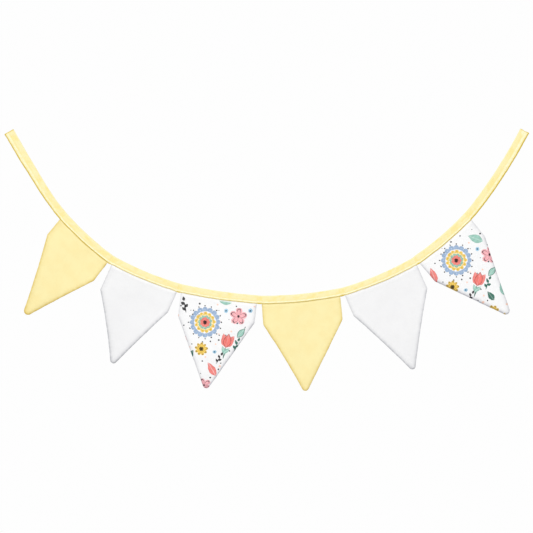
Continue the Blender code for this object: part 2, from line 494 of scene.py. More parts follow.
def makeBloomGroup():
    tree, given, out = newGroup("printBloom", ("Radius", "Petals", "Notch", "Line"))
    x, y = localPlace(tree, given)
    reach = calc(tree, "SQRT", plus(tree, times(tree, x, x), times(tree, y, y)))
    turns = times(tree, times(tree, given["Petals"], 0.5), calc(tree, "ARCTAN2", y, x))
    wave = calc(tree, "ABSOLUTE", calc(tree, "COSINE", turns))
    lobe = calc(tree, "POWER", wave, 0.5)
    share = plus(tree, minus(tree, 1.0, given["Notch"]), times(tree, given["Notch"], lobe))
    inside = minus(tree, times(tree, given["Radius"], share), reach)
    loop = times(tree, times(tree, given["Radius"], 0.86), calc(tree, "POWER", wave, 0.9))
    offLoop = calc(tree, "ABSOLUTE", minus(tree, reach, loop))
    line = times(tree, mapSmooth(tree, offLoop, 0.65, 1.4, 1.0, 0.0), given["Line"])
    body = mixColour(tree, line, given["Ink"], ink["black"])
    tree.links.new(paint(tree, given, inside, body), out["Colour"])
    return tree


def makeBeadGroup():
    tree, given, out = newGroup("printBeads", ("Radius", "Count", "Bead"))
    x, y = localPlace(tree, given)
    reach = calc(tree, "SQRT", plus(tree, times(tree, x, x), times(tree, y, y)))
    half = calc(tree, "DIVIDE", math.pi, given["Count"])
    turned = calc(tree, "WRAP", calc(tree, "ARCTAN2", y, x), half, times(tree, half, -1.0))
    aside = times(tree, turned, given["Radius"])
    off = minus(tree, reach, given["Radius"])
    away = calc(tree, "SQRT", plus(tree, times(tree, aside, aside), times(tree, off, off)))
    tree.links.new(paint(tree, given, minus(tree, given["Bead"], away), given["Ink"]), out["Colour"])
    return tree


def bloom(x, y, radius, colour, petals=0, notch=0.0, line=0.0, turn=0.0):
    return {"Centre X": x, "Centre Y": y, "Turn": math.radians(turn), "Radius": radius, "Petals": petals,
            "Notch": notch, "Line": line, "Ink": ink[colour]}


def leaf(x, y, turn, length, width, colour, rib=0.0, line=0.0):
    return {"Centre X": x, "Centre Y": y, "Turn": math.radians(turn), "Length": length, "Width": width,
            "Rib": rib, "Line": line, "Ink": ink[colour]}


def beads(x, y, radius, count, bead, colour):
    return {"Centre X": x, "Centre Y": y, "Turn": 0.0, "Radius": radius, "Count": count, "Bead": bead,
            "Ink": ink[colour]}


def ahead(x, y, turn, distance):
    # The point that far from x, y, going up turned by so many degrees
    return x - math.sin(math.radians(turn)) * distance, y + math.cos(math.radians(turn)) * distance


def dahlia(x, y):
    return [
        beads(x, y, 34.5, 16, 1.7, "black"),
        bloom(x, y, 32.5, "blueGrey", petals=16, notch=0.16),
        beads(x, y, 26.5, 32, 0.8, "white"),
        bloom(x, y, 23.5, "white"),
        bloom(x, y, 22.5, "mustard", petals=13, notch=0.26, line=0.35, turn=3),
        bloom(x, y, 17.0, "cream", petals=22, notch=0.14, turn=8),
        bloom(x, y, 15.0, "sage", petals=11, notch=0.16, turn=10),
        beads(x, y, 12.4, 22, 0.7, "darkGreen"),
        bloom(x, y, 11.0, "coral", petals=9, notch=0.26),
        bloom(x, y, 4.8, "black", petals=7, notch=0.3),
    ]


def fivePetals(x, y, radius, turn):
    return [
        bloom(x, y, radius, "pink", petals=5, notch=0.50, line=0.95, turn=turn),
        bloom(x, y, radius * 0.15, "black"),
    ]


def sunDaisy(x, y, radius, turn):
    return [
        bloom(x, y, radius, "mustard", petals=9, notch=0.36, line=0.8, turn=turn),
        bloom(x, y, radius * 0.34, "black", petals=6, notch=0.2),
        beads(x, y, radius * 0.2, 5, 0.7, "mustard"),
    ]


def tulip(x, y, turn, size, colour):
    stemPlace = ahead(x, y, turn, -size * 0.34)
    rows = [leaf(*stemPlace, turn, size * 0.8, size * 0.08, "darkGreen")]
    for lean in (34, -38):
        place = ahead(*stemPlace, turn + lean, size * 0.12)
        rows.append(leaf(*place, turn + lean, size * 0.5, size * 0.2, "sage", rib=0.4))
    for lean in (-26, 26, 0):
        place = ahead(x, y, turn + lean, size * 0.30)
        line = 0.5 if lean == 0 else 0.0
        rows.append(leaf(*place, turn + lean, size * 0.78, size * 0.42, colour, rib=0.2, line=line))
    return rows


def sprig(x, y, turn, size, colour="black"):
    rows = [leaf(x, y, turn, size, size * 0.12, colour)]
    for share, lean in ((-0.22, 50), (-0.02, -50), (0.2, 46), (0.5, 0)):
        base = ahead(x, y, turn, size * share)
        place = ahead(*base, turn + lean, size * 0.17)
        rows.append(leaf(*place, turn + lean, size * 0.38, size * 0.24, colour))
    return rows


def seedDot(x, y, radius):
    return [bloom(x, y, radius, "paleBlue", petals=5, notch=0.14), bloom(x, y, radius * 0.44, "navy")]


printRows = (
    leaf(92, -16, 70, 34, 17, "sage", rib=0.35),
    leaf(128, -84, -40, 27, 13, "sage", rib=0.35, line=0.6),
    leaf(150, -122, 24, 30, 15, "sage", rib=0.35),
    leaf(4, -94, 20, 36, 15, "coral", rib=0.45),
    leaf(66, -160, 30, 34, 15, "coral", rib=0.45),
    leaf(22, -129, -30, 22, 12, "darkGreen", rib=0.3),
    leaf(124, -136, 36, 24, 13, "darkGreen", rib=0.3),
    leaf(12, -176, 15, 24, 11, "sage", rib=0.3, line=0.5),
    *dahlia(52, -62),
    *fivePetals(122, -50, 18.5, 12),
    *fivePetals(50, -194, 15.0, 40),
    *sunDaisy(44, -118, 14.0, 5),
    *sunDaisy(128, -170, 14.5, 25),
    *tulip(96, -112, -14, 40, "coral"),
    *tulip(150, -190, 16, 28, "mustard"),
    *sprig(10, -30, 10, 27),
    *sprig(80, -141, -30, 22),
    *sprig(117, -113, -22, 24, "darkGreen"),
    *seedDot(96, -38, 4.6),
    *seedDot(72, -124, 4.2),
    *seedDot(147, -38, 4.8),
    *seedDot(100, -153, 4.4),
)


def bareCloth(tree, colour):
    # 1 where no motif is printed, so that the small dots keep to the white ground
    parts = addNode(tree, "ShaderNodeSeparateColor", {0: colour}).outputs
    lowest = calc(tree, "MINIMUM", parts[0], calc(tree, "MINIMUM", parts[1], parts[2]))
    return mapSmooth(tree, lowest, 0.76, 0.86)


def scatterDots(tree, place, colour, spacing, radius, dotColour, chance):
    cells = addNode(tree, "ShaderNodeTexVoronoi",
                    {"Vector": place, "Scale": 1.0 / spacing, "Randomness": 0.8}, voronoi_dimensions="2D")
    away = times(tree, cells.outputs["Distance"], spacing)
    parts = addNode(tree, "ShaderNodeSeparateXYZ", {0: cells.outputs["Color"]}).outputs
    kept = calc(tree, "LESS_THAN", parts["X"], chance)
    size = times(tree, radius, plus(tree, 0.6, times(tree, parts["Y"], 0.8)))
    dot = mapSmooth(tree, minus(tree, size, away), -0.25, 0.25, 0.0, 0.9)
    shown = times(tree, times(tree, dot, kept), bareCloth(tree, colour))
    return mixColour(tree, shown, colour, dotColour)


def makePrintedCotton(name):
    look = cottonLooks[name]
    made = newMaterial(name)
    tree = made.node_tree
    place = clothPlace(tree)
    wet = addNode(tree, "ShaderNodeTexNoise",
                  {"Vector": place, "Scale": 1 / repeat["bleedSize"], "Detail": 2.0})
    centred = vectorCalc(tree, "SUBTRACT", wet.outputs["Color"], (0.5, 0.5, 0.5))
    brushed = vectorCalc(tree, "ADD", place, vectorCalc(tree, "SCALE", centred, 2 * repeat["bleed"]))
    colour = groundColour(tree, place, look)
    spot = addNode(tree, "ShaderNodeSeparateXYZ", {0: brushed}).outputs
    wash = mapSmooth(tree, noiseValue(tree, place, 5.5, detail=3.0, roughness=0.6), 0.3, 0.7, 0.84, 1.10)
    groups = {"Length": makeLeafGroup(), "Petals": makeBloomGroup(), "Bead": makeBeadGroup()}
    for row in printRows:
        motif = tree.nodes.new("ShaderNodeGroup")
        motif.node_tree = next(group for socket, group in groups.items() if socket in row)
        for socket, value in {"Under": colour, "X": spot["X"], "Y": spot["Y"], "Wash": wash, **row}.items():
            plug(tree, motif.inputs[socket], value)
        colour = motif.outputs["Colour"]
    colour = scatterDots(tree, brushed, colour, 19.0, 1.5, ink["black"], 0.62)
    shifted = vectorCalc(tree, "ADD", brushed, (7.0, 9.0, 0.0))
    colour = scatterDots(tree, shifted, colour, 27.0, 2.0, ink["peach"], 0.5)
    finishCloth(tree, paintedLightAndShade(tree, colour, look), place, look)
    return made


cottons = {
    "yellow_cotton": makePlainCotton("yellow_cotton"),
    "white_cotton": makePlainCotton("white_cotton"),
    "printed_cotton": makePrintedCotton("printed_cotton"),
}
print("cottons ready, with", len(printRows), "printed motifs")


# Meshes of cloth

def clothMesh(name, points, faces, corners, shades, cloth):
    # points are the vertices, corners the flat map at each face corner, shades the values at each vertex
    mesh = bpy.data.meshes.new(name)
    faceRows = [tuple(int(i) for i in face) for face in faces]
    mesh.from_pydata([tuple(point) for point in points], [], faceRows)
    flat = mesh.uv_layers.new(name="clothMap")
    flat.uv.foreach_set("vector", np.asarray(corners, np.float32).ravel())
    for label, values in shades.items():
        layer = mesh.attributes.new(label, "FLOAT", "POINT")
        layer.data.foreach_set("value", np.asarray(values, np.float32))
    mesh.shade_smooth()
    mesh.materials.append(cloth)
    piece = bpy.data.objects.new(name, mesh)
    bpy.context.scene.collection.objects.link(piece)
    return piece


# The tape

tape = {
    "leaf": 1.0 * mm,
    "heldGap": 2.184 * mm,        # between the leaves where a pennant lies inside
    "freeGap": 0.4 * mm,
    "gapRun": 3.0 * mm,           # how far past a pennant the leaves close
    # mm that the hem is drawn up over each pennant, and over what length from its left and right end
    "edgeLifts": {1: (0.4, 60, 4), 2: (1.3, 7, 18), 3: (0.55, 9, 6),
                  4: (0.35, 60, 6), 5: (0.85, 40, 7), 6: (1.0, 38, 12)},
    # how much painted shade the lower edge gets over each pennant
    "edgeShadeDepths": {1: 1.15, 2: 0.54, 3: 0.68, 4: 0.74, 5: 0.64, 6: 1.35},
    "freeEdgeShade": (0.92, 1.15),  # and of the left and the right tail
    "gapSag": 0.7 * mm,           # the free tape drops that far between two pennants
    "lipRound": 2.6 * mm,
    "stitchHeight": 4.4 * mm,
    "hemTopHeld": 4.6 * mm,
    # mm along the tape and mm that its hem is high where no pennant is held
    "hemTopFree": ((0, 8.0), (105, 8.0), (150, 6.8), (205, 6.0), (1190, 7.0), (1230, 7.6),
                   (1300, 8.3), (1382, 9.3), (1389, 16.0)),
    "stationStep": 1.7 * mm,
    "fineStep": 0.75 * mm,        # near a pennant's ends
    "fineReach": 6.0 * mm,
    "endRound": 1.7 * mm,
    "endClose": 1.2 * mm,
    "puckerDepth": 0.42 * mm,
    "puckerSlant": 38.0,          # degrees that the drag lines lean from the tape's length
    "flare": 1.2 * mm,            # the left end spreads over its last centimetre
    "endSlant": 0.4 * mm,         # and its lower corner is cut back
    "overhang": 0.75 * mm,        # the left end reaches past the line's start
    "endShadeDepths": (1.0, 0.75),       # how much painted shade the turned-in ends get, left and right
    "droop": 1.4 * mm,            # the tape is a little wider along the left tail
    "dip": 0.8 * mm,              # and just before the first pennant
    "notch": 1.0 * mm,            # the right end is drawn in at its middle
    "endWarmth": 0.2,             # the right tail is a little deeper in colour
}
# hem is the colour of a painted highlight on the hem, edge of painted shade along the lower edge and ends
tapeLook = {
    "colour": screenColour(247, 234.5, 180),
    "warm": screenColour(247, 228, 156),
    "hem": screenColour(252, 246, 208),
    "edge": screenColour(212, 184, 48),
    "roughness": 0.84,
    "sheen": 0.10,
}

# Thickness of a leaf in mm at heights in mm above its lower edge: over a pennant and free
heldProfile = ((0, 1.50), (2.4, 1.55), (4.4, 1.00), (5.4, 1.12), (7.0, 1.08), (10.0, 1.00), (40, 1.00))
freeProfile = ((0, 1.45), (2.4, 1.50), (4.4, 1.22), (5.6, 1.36), (7.4, 1.30), (9.4, 0.96),
               (13.0, 1.00), (40, 1.00))
leafHeights = (0.0, 0.06, 0.22, 0.5, 0.9, 1.4, 2.0, 2.6, 3.2, 3.8, 4.4, 5.0, 5.6, 6.4, 7.4, 8.4)
panelColumns = 5
foldSteps = 10
innerHeights = (3.0, 6.4, 8.2, 10.0, 11.8)      # of the leaves' inner faces
foldColumns = 5
endSteps = (0.0, 0.1, 0.3, 0.6, 1.0, 1.5, 2.2)  # mm from an end, where the sections lie closer


def profileAt(v, profile):
    heights, depths = zip(*profile)
    return np.interp(v / mm, heights, depths) * mm


def tapeStations():
    places = [step * mm for step in endSteps]
    while places[-1] < tapeLength:
        near = abs(insidePennant(places[-1])) < tape["fineReach"]
        places.append(places[-1] + (tape["fineStep"] if near else tape["stationStep"]))
    ending = [tapeLength - step * mm for step in reversed(endSteps)]
    return np.array([place for place in places if place < ending[0] - 0.3 * mm] + ending)


def gapTone(inside):
    # Painted shade: a crease at each pennant's end and a warmer shaded patch between two pennants
    crease = 1.1 * np.exp(-((inside + 0.4 * mm) / (1.1 * mm)) ** 2)
    patch = 0.6 * smooth(-inside / (2 * mm)) * smooth((inside + 11 * mm) / (4 * mm))
    return crease + patch


def heldValue(s, values, free):
    # The value given for the pennant that lies at length s, and the free one beside the pennants
    result = free * np.ones(len(s))
    for number, (first, last) in pennantSpans.items():
        result += (values[number] - free) * smooth(np.minimum(s - first, last - s) / (6 * mm) + 0.5)
    return result


def endTone(s):
    # Painted shade along both turned-in ends
    left, right = tape["endShadeDepths"]
    near = [1 - smooth((away - 1.0 * mm) / (1.8 * mm)) for away in (s, tapeLength - s)]
    return left * near[0] + right * near[1]


def leafSurface(s, v, width, seed):
    # Outer depth of one leaf in front of its inner face, with hem, stitch groove, puckers and creases
    inside = insidePennant(s)
    held = smooth(inside / (6 * mm) + 0.5)
    depth = profileAt(v, freeProfile) * (1 - held) + profileAt(v, heldProfile) * held
    depth = depth * np.sqrt(np.clip(1 - (1 - np.clip(v / tape["lipRound"], 0, 1)) ** 2, 0, 1))
    slant = math.radians(tape["puckerSlant"])
    drawn = s * math.sin(slant) + v * math.cos(slant)
    across = s * math.cos(slant) - v * math.sin(slant)
    panel = smooth((v - 4.2 * mm) / (3.0 * mm)) * smooth((width - v) / (3.5 * mm))
    pucker = wander(seed, across / (7.5 * mm), drawn / (30 * mm))
    pucker += 0.6 * wander(seed + 1, across / (17 * mm), drawn / (40 * mm))
    hemBand = smooth((v - 0.8 * mm) / (1.2 * mm)) * smooth((6.0 * mm - v) / (1.6 * mm))
    puff = 0.20 * mm * wander(seed + 2, s / (6.5 * mm)) * hemBand
    seam = tape["stitchHeight"]
    crown = 0.25 * mm * np.sin(math.pi * np.clip((v - seam) / (width - seam), 0, 1)) * (1 - 0.4 * held)
    crease = -0.45 * mm * np.exp(-(inside / (1.2 * mm)) ** 2) * smooth(v / (4 * mm))
    depth = depth + tape["puckerDepth"] * pucker * panel + puff + crown + crease
    hemTop = np.interp(s / mm, *zip(*tape["hemTopFree"])) * mm
    hemTop += (tape["hemTopHeld"] - hemTop) * held
    # Painted shade in a warm line just above the hem
    aboveHem = np.exp(-((v - hemTop - 1.5 * mm) / (1.3 * mm)) ** 2)
    aboveHem *= np.clip(0.65 + 1.6 * wander(seed + 3, s / (15 * mm)), 0, 1)
    # Painted shade along the rolled lower edge, by an amount of its own over each pennant and each tail
    edgeShading = heldValue(s, tape["edgeShadeDepths"], np.where(s < tapeLength / 2, *tape["freeEdgeShade"]))
    edgeShading *= 1 + 0.3 * wander(seed + 4, s / (10 * mm))
    edgeShading *= 1 - 0.5 * np.exp(-((tapeLength - s) / (2.5 * mm)) ** 2)      # less painted shade at the right end's corner
    edgeShading *= 1 - smooth((v - (1.3 - 0.9 * held) * mm) / ((3.2 - 1.0 * held) * mm))
    # Painted highlight on the hem band below the stitching
    hem = smooth((v - 1.6 * mm) / (1.0 * mm)) * smooth((hemTop - v) / (1.2 * mm) + 0.5)
    warmEnd = tape["endWarmth"] * smooth((s - pennantSpans[6][1]) / (30 * mm))
    # Painted shade, warm, in the puckers' hollows and the creases by the pennants' ends, plus a deeper
    # colour on the right tail
    creases = (np.clip(-1.6 * pucker, 0, 1) + gapTone(inside) + warmEnd) * panel
    shades = {
        "hemTone": hem * (0.76 + 0.24 * held),
        "creaseTone": np.clip(creases + 0.75 * aboveHem, 0, 1.2),
        "edgeShade": np.clip(edgeShading + endTone(s), 0, 1.3),
    }
    return depth, shades


def makeTapeGrid():
    s = tapeStations()
    inside = insidePennant(s)
    gap = tape["heldGap"] + (tape["freeGap"] - tape["heldGap"]) * smooth(-inside / tape["gapRun"])
    inner = gap / 2
    width = widthAt(s) + 0.3 * mm * wander(3, s / (24 * mm)) + 0.14 * mm * wander(4, s / (6 * mm))
    radius = inner + tape["leaf"] / 2
    foldStart = width - radius - tape["leaf"] / 2
    lift = np.zeros(len(s))
    for number, (first, last) in pennantSpans.items():
        height, leftRun, rightRun = (value * mm for value in tape["edgeLifts"][number])
        lift += height * smooth((s - first) / leftRun) * smooth((last - s) / rightRun)
    lift += 0.40 * mm * wander(5, s / (17 * mm)) + 0.35 * mm * wander(6, s / (6 * mm))
    lift -= tape["flare"] * np.clip(1 - s / (14 * mm), 0, 1) ** 1.4
    lift -= tape["droop"] * smooth((120 * mm - s) / (72 * mm))
    lift -= tape["dip"] * np.exp(-((s - pennantSpans[1][0] + 9 * mm) / (17 * mm)) ** 2)
    amongPennants = (s > pennantSpans[1][1]) & (s < pennantSpans[6][0])
    lift -= tape["gapSag"] * smooth(-inside / (3 * mm)) * amongPennants
    heights = [np.full(len(s), height * mm) for height in leafHeights]
    top = heights[-1] + lift
    shares = [(i + 1) / (panelColumns + 1) for i in range(panelColumns)]
    columns, uppers = [], [height + lift for height in heights]
    uppers += [top + (foldStart - top) * share for share in shares]
    for side, seed in ((-1, 11), (1, 31)):
        leafRows = []
        for upper in uppers:
            depth, shade = leafSurface(s, upper - lift, width - lift, seed)
            leafRows.append((upper, side * (inner + depth), shade))
        columns.append(leafRows)
    front, back = columns
    frontDepth, backDepth = -front[-1][1], back[-1][1]
    plain = {"hemTone": np.zeros(len(s)), "creaseTone": np.zeros(len(s)), "edgeShade": endTone(s)}
    arc = []
    for step in range(foldSteps + 1):
        angle = math.pi * step / foldSteps
        share = (1 - math.cos(angle)) / 2
        deep = frontDepth * (1 - share) + backDepth * share
        height = foldStart + (radius + tape["leaf"] / 2) * math.sin(angle)
        arc.append((height, -deep * math.cos(angle), plain))
    hollow = [(lift + height * mm, inner, plain) for height in innerHeights]
    for angle in np.linspace(0, math.pi, foldColumns):
        hollow.append((foldStart + inner * math.sin(angle), inner * math.cos(angle), plain))
    hollow += [(lift + height * mm, -inner, plain) for height in reversed(innerHeights)]
    ring = front + arc + back[::-1] + hollow
    up = np.stack([column[0] for column in ring], 1)
    y = np.stack([column[1] for column in ring], 1)
    tones = {label: np.stack([column[2][label] for column in ring], 1) for label in plain}
    return s, width, up, y, tones, len(front) + foldSteps // 2


def closeEnds(s, width, up, y):
    # Both ends are turned in: the leaves meet, the corners are rounded and the right end dips in the middle
    toEnd = np.minimum(s, tapeLength - s)
    meet = np.sqrt(np.clip(1 - (1 - np.clip(toEnd / tape["endClose"], 0, 1)) ** 2, 0.02, 1))
    swell = 1 + 0.12 * np.exp(-((toEnd - 3 * mm) / (1.6 * mm)) ** 2)
    cornered = np.clip(1 - toEnd / tape["endRound"], 0, 1)
    rounding = tape["endRound"] * (1 - np.sqrt(1 - cornered ** 2))
    middle = width / 2
    up = middle[:, None] + (up - middle[:, None]) * (1 - rounding / middle)[:, None]
    dip = tape["notch"] * np.exp(-((up - middle[:, None]) / (2.4 * mm)) ** 2)
    dip -= 0.3 * mm * wander(8, up / (4 * mm))
    fade = np.clip(1 - (tapeLength - s) / (6 * mm), 0, 1)[:, None]
    leftFade = np.clip(1 - s / (6 * mm), 0, 1)[:, None]
    cutBack = 0.35 * mm * wander(9, up / (4 * mm)) - tape["overhang"]
    cutBack += tape["endSlant"] * (1 - up / width[:, None])
    place = s[:, None] - dip * fade + cutBack * leftFade
    return place, up, y * (meet * swell)[:, None]


def makeTapeMaterial():
    made = newMaterial("yellow_tape")
    tree = made.node_tree
    flat = clothPlace(tree)
    bias = clothPlace(tree, turn=45.0)
    stretched = addNode(tree, "ShaderNodeMapping", {"Vector": flat, "Rotation": (0, 0, math.radians(24)),
                                                    "Scale": (0.5, 1.0, 1.0)}).outputs[0]
    patches = mapSmooth(tree, noiseValue(tree, stretched, 8.0, detail=2.0), 0.50, 0.72)
    patches = times(tree, patches, minus(tree, 1.0, attributeValue(tree, "hemTone")))
    colour = mixColour(tree, patches, tapeLook["colour"], tapeLook["warm"])
    # Painted shade, warm, in the creases
    crease = times(tree, attributeValue(tree, "creaseTone"), 0.85)
    colour = mixColour(tree, crease, colour, tapeLook["warm"])
    # Painted highlight and glints on the hem
    glints = mapSmooth(tree, noiseValue(tree, flat, 7.0, detail=1.0), 0.32, 0.60, 0.3, 1.0)
    hem = times(tree, attributeValue(tree, "hemTone"), glints)
    colour = mixColour(tree, hem, colour, tapeLook["hem"])
    # Painted shade along the lower edge and the turned-in ends
    edgeShading = times(tree, attributeValue(tree, "edgeShade"), 0.95)
    colour = mixColour(tree, edgeShading, colour, tapeLook["edge"])
    finishCloth(tree, colour, bias, tapeLook)
    return made


def endFaces(row, section):
    # Closes one end between the tape's outside and its inside, always across the shorter way
    innerCount = 2 * len(innerHeights) + foldColumns
    outer, inner = row[:-innerCount], row[-innerCount:][::-1]
    outside, inside = section[:-innerCount], section[-innerCount:][::-1]
    faces, i, j = [], 0, 0
    while i < len(outer) - 1 or j < len(inner) - 1:
        outerLast, innerLast = i == len(outer) - 1, j == len(inner) - 1
        if outerLast or innerLast:
            stepOuter = innerLast
        else:
            outerWay = np.linalg.norm(outside[i + 1] - inside[j])
            innerWay = np.linalg.norm(outside[i] - inside[j + 1])
            stepOuter = outerWay <= innerWay
        if stepOuter:
            faces.append((outer[i], outer[i + 1], inner[j]))
            i += 1
        else:
            faces.append((outer[i], inner[j + 1], inner[j]))
            j += 1
    return np.array(faces)


def makeTape():
    s, width, up, y, tones, foldColumn = makeTapeGrid()
    section = np.stack([up, y], -1)
    place, up, y = closeEnds(s, width, up, y)
    spots = lineAt(place, up)
    grid = np.stack([spots[..., 0], y, spots[..., 1]], -1)
    rows, columns = grid.shape[:2]
    index = np.arange(rows * columns).reshape(rows, columns)
    following = np.roll(index, -1, axis=1)
    faces = np.stack([index[:-1], index[1:], following[1:], following[:-1]], -1).reshape(-1, 4)
    steps = np.linalg.norm(np.roll(grid, -1, axis=1) - grid, axis=2)
    around = np.concatenate([np.zeros((rows, 1)), np.cumsum(steps, axis=1)], axis=1)
    around -= around[:, foldColumn:foldColumn + 1]
    length = np.broadcast_to(place.mean(1)[:, None], around.shape)
    flat = np.stack([length, around], -1)
    corners = np.stack([flat[:-1, :-1], flat[1:, :-1], flat[1:, 1:], flat[:-1, 1:]], 2).reshape(-1, 2)
    caps = np.concatenate([endFaces(index[0], section[0]), endFaces(index[-1], section[-1])[:, ::-1]])
    capCorners = flat[:, :-1].reshape(-1, 2)[caps.ravel()]
    shades = {label: values.ravel() for label, values in tones.items()}
    corners = np.concatenate([corners, capCorners])
    points = grid.reshape(-1, 3)
    piece = clothMesh("tape_cloth", points, [*faces, *caps], corners, shades, makeTapeMaterial())
    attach(piece, "root")
    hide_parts("tape")
    stitchColumn = leafHeights.index(tape["stitchHeight"] / mm)
    backColumn = 2 * (len(leafHeights) + panelColumns) + foldSteps - stitchColumn
    print("tape", rows, "sections of", columns, "points")
    return piece, s, grid[:, stitchColumn], grid[:, backColumn]


tapePiece, tapePlaces, frontSeam, backSeam = makeTape()


# The topstitching along the tape

stitching = {
    "pitch": 3.0 * mm,
    "length": 2.35 * mm,
    "thickness": 0.46 * mm,
    "sunk": 0.05 * mm,
    "first": 4.0 * mm,            # from the left end to the first stitch
    "bare": 7.0 * mm,             # without stitches, at both ends together
    "sides": 6,
    "colour": screenColour(255, 250, 214),
    "shade": screenColour(240, 222, 160),
}


def makeThreadMaterial():
    made = newMaterial("topstitch_thread")
    tree = made.node_tree
    shader = tree.nodes["Principled BSDF"]
    place = vectorCalc(tree, "SCALE", addNode(tree, "ShaderNodeTexCoord").outputs["Object"], 1000.0)
    plies = addNode(tree, "ShaderNodeTexWave",
                    {"Vector": place, "Scale": 1.6, "Distortion": 1.5, "Detail": 1.0},
                    bands_direction="DIAGONAL")
    tree.links.new(mixColour(tree, plies.outputs["Fac"], stitching["shade"], stitching["colour"]),
                   shader.inputs["Base Color"])
    bump = addNode(tree, "ShaderNodeBump",
                   {"Strength": 0.4, "Distance": 0.1 * mm, "Height": plies.outputs["Fac"]})
    tree.links.new(bump.outputs["Normal"], shader.inputs["Normal"])
    shader.inputs["Roughness"].default_value = 0.6
    shader.inputs["Sheen Weight"].default_value = 0.15
    return made


def makeStitch():
    # One stitch lying along X and facing -Y, with both ends drawn down into the cloth
    deselectAll()
    straight = stitching["length"] * 0.5
    bpy.ops.mesh.primitive_cylinder_add(vertices=stitching["sides"], radius=stitching["thickness"] / 2,
                                        depth=straight, location=(0, 0, 0), rotation=(0, math.pi / 2, 0))
    stitch = bpy.context.object
    bpy.ops.object.transform_apply(location=False, rotation=True, scale=False)
    bpy.ops.object.mode_set(mode="EDIT")
    for side in (-1, 1):
        for reach, sink, size in ((0.30, 0.10, 0.82), (0.20, 0.22, 0.5)):
            bpy.ops.mesh.select_all(action="DESELECT")
            bpy.ops.object.mode_set(mode="OBJECT")
            farthest = max(side * face.center.x for face in stitch.data.polygons)
            for face in stitch.data.polygons:
                face.select = side * face.center.x > farthest - 0.001 * mm
            bpy.ops.object.mode_set(mode="EDIT")
            bpy.ops.mesh.select_mode(type="FACE")
            move = (side * reach * stitching["length"] / 2, sink * mm, 0)
            bpy.ops.mesh.extrude_region_move(TRANSFORM_OT_translate={"value": move})
            bpy.ops.transform.resize(value=(1, size, size))
    bpy.ops.object.mode_set(mode="OBJECT")
    return stitch


def sewSeam(name, stitch, places, seam, outward, thread):
    # Copies the stitch along the seam's points and joins the copies into one piece
    count = int((tapeLength - stitching["bare"]) / stitching["pitch"])
    copies = []
    for i in range(count):
        s = stitching["first"] + (i + 0.12 * float(wander(21, i * 0.71))) * stitching["pitch"]
        ends = [Vector([float(np.interp(s + half, places, seam[:, axis])) for axis in range(3)])
                for half in (-stitching["length"] * 0.4, stitching["length"] * 0.4)]
        xAxis = (ends[1] - ends[0]).normalized()
        yAxis = Vector((0, -outward, 0))
        yAxis = (yAxis - xAxis * yAxis.dot(xAxis)).normalized()
        turn = Matrix((xAxis, yAxis, xAxis.cross(yAxis))).transposed().to_4x4()
        proud = outward * (stitching["thickness"] / 2 - stitching["sunk"])
        middle = (ends[0] + ends[1]) / 2 + Vector((0, proud, 0))
        tilt = Matrix.Rotation(0.05 * float(wander(22, i * 1.3)), 4, "Y")
        turn = Matrix.Translation(middle) @ turn @ tilt
        mesh = stitch.data.copy()
        mesh.transform(turn)
        copied = bpy.data.objects.new(f"{name}_{i}", mesh)
        bpy.context.scene.collection.objects.link(copied)
        copies.append(copied)
    deselectAll()
    for copied in copies:
        copied.select_set(True)
    bpy.context.view_layer.objects.active = copies[0]
    bpy.ops.object.join()
    seamPiece = bpy.context.object
    seamPiece.name = name
    seamPiece.data.shade_smooth()
    seamPiece.data.materials.clear()
    seamPiece.data.materials.append(thread)
    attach(seamPiece, "root")
    return seamPiece


oneStitch = makeStitch()
threadMaterial = makeThreadMaterial()
frontStitches = sewSeam("topstitch_front", oneStitch, tapePlaces, frontSeam, -1, threadMaterial)
backStitches = sewSeam("topstitch_back", oneStitch, tapePlaces, backSeam, 1, threadMaterial)
bpy.data.objects.remove(oneStitch)
print("topstitching sewn")


# The pennants

pennant = {
    "thickness": 2.4 * mm,
    "heldShare": 0.66,            # squeezed by the tape
    "heldDepth": 12.5 * mm,
    "openRun": 5.0 * mm,          # below the tape it opens to its full thickness
    "panelShare": 0.78,
    "rimRound": 4.2 * mm,
    "seamAllowance": 6.5 * mm,
    "seamFade": 11.5 * mm,
    "seamPuff": 1.12,
    "shoulderRound": 1.5 * mm,
    "foldSlant": 0.6,
    "foldStart": 0.3,
    "outlineStep": 1.7 * mm,
    "panelStep": 2.7 * mm,
    "edgeWobble": 0.28 * mm,
    # how much painted shade each gets along its four edges, from the left corner round the tip to the right
    # corner
    "edgeTones": {
        1: (0.72, 0.70, 0.90, 0.84), 2: (0.52, 0.78, 1.00, 0.54), 3: (0.42, 0.57, 1.0, 0.66),
        4: (0.65, 0.76, 0.75, 0.60), 5: (0.46, 0.88, 0.76, 0.54), 6: (0.78, 1.15, 0.75, 0.60),
    },
    # painted shade round the tip
    "tipTones": {1: 0.30, 2: 0.19, 3: 0.12, 4: 0.04, 5: 0.17, 6: 0.12},
    "lowerTones": {1: 0.02, 2: 0.085, 3: 0.0, 4: 0.0, 5: 0.06, 6: 0.0},   # painted shade gained on the way down
    "tapeShade": {1: 1.0, 2: 0.0, 3: 0.45, 4: 0.55, 5: 0.3, 6: 0.7},      # and painted shadow just below the tape
}
rimDepths = (0.08, 0.3, 0.65, 1.1, 1.7, 2.4, 3.4, 4.8, 6.4, 8.2, 10.4)   # mm inside the outline

